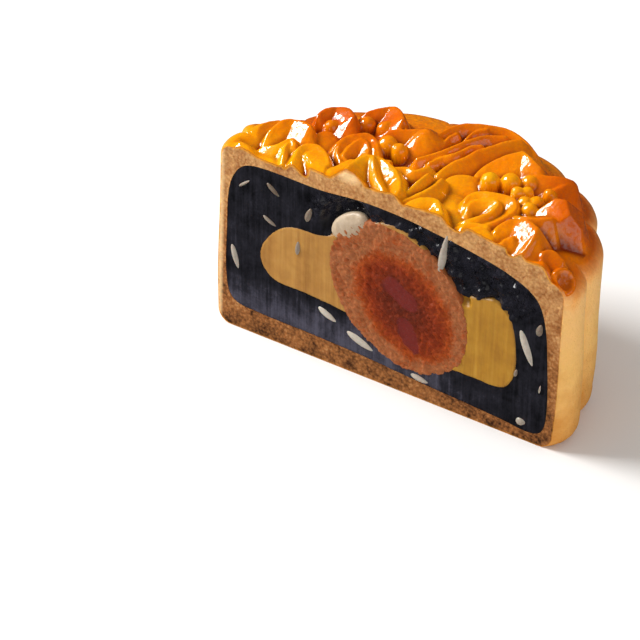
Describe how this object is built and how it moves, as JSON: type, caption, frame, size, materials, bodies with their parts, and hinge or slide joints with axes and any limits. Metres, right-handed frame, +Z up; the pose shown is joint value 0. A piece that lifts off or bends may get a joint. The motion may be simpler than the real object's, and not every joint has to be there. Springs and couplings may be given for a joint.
{
  "type": "halved mooncake",
  "caption": "Half of a baked mooncake standing with its cut face shown: scalloped crust with flowers in relief, black seed paste, yellow paste, egg yolk, nut and seeds.",
  "frame": {"origin": "centre of the bounding box at the flat base that the cake stands on", "axes": "+X along the cut face, +Y from the cut face back through the cake, +Z up to the flowers on top"},
  "size_m": [0.0794, 0.0414, 0.0448],
  "materials": {
    "crust": "baked pastry, glossy egg glaze on top, satin sides, open crumb at the cut",
    "black_paste": "dense moist black seed paste with pale seeds",
    "yellow_paste": "smooth dense yellow paste with knife marks",
    "egg_yolk": "grainy cured yolk, moist in the middle",
    "nut": "pale cut nut, waxy"
  },
  "bodies": {
    "root": {"crust": "crust", "black_paste": "black_paste", "yellow_paste": "yellow_paste", "egg_yolk": "egg_yolk", "nut": "nut"}
  },
  "joints": []
}
